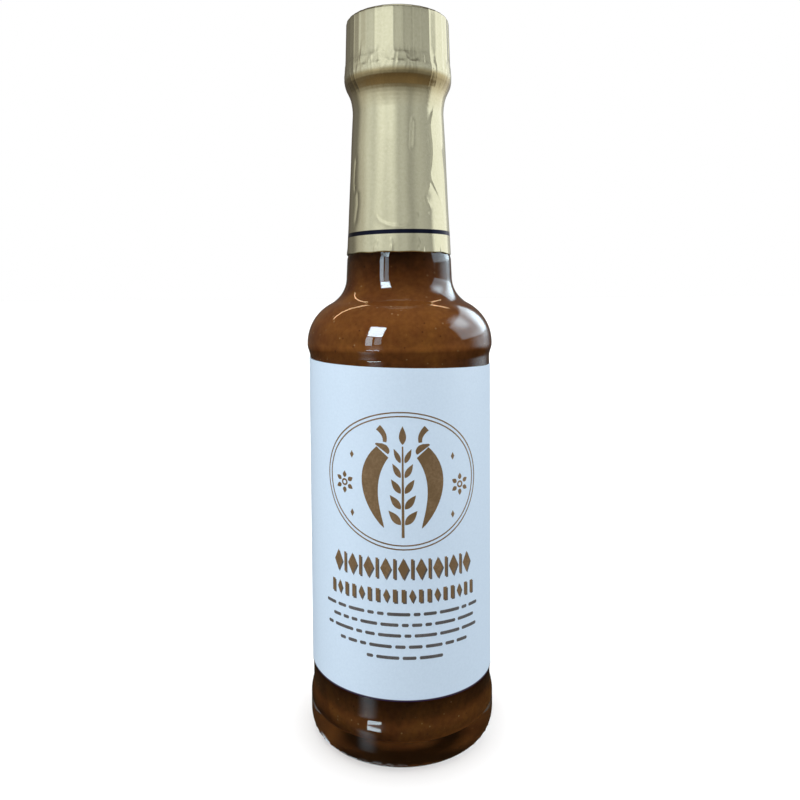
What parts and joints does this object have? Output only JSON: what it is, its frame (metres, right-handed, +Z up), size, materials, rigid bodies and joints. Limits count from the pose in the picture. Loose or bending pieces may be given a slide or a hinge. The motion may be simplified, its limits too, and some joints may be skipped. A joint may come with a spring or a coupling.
{
  "type": "hot sauce bottle",
  "caption": "Slim round glass bottle filled with brown hot sauce, with a long neck, a gold shrink capsule over the screw cap and a white wrap label; stands on its base ring.",
  "frame": {"origin": "centre of the base, on the surface that the bottle stands on", "axes": "+Z up along the bottle's axis to the cap, -Y out of the front of the label, +X to the right seen from the front"},
  "size_m": [0.0472, 0.0472, 0.1787],
  "materials": {
    "bottle_glass": "clear, glossy, slightly green in the thick base",
    "sauce": "wet, opaque, dark brown with fine specks",
    "gold_capsule": "satin metallic pale gold, with small wrinkles and one thin dark line",
    "label_paper": "matte cool white, printed in bronze brown and dark grey"
  },
  "bodies": {
    "root": {"glass_bottle": "bottle_glass", "sauce": "sauce", "capsule": "gold_capsule", "label": "label_paper"}
  },
  "joints": []
}
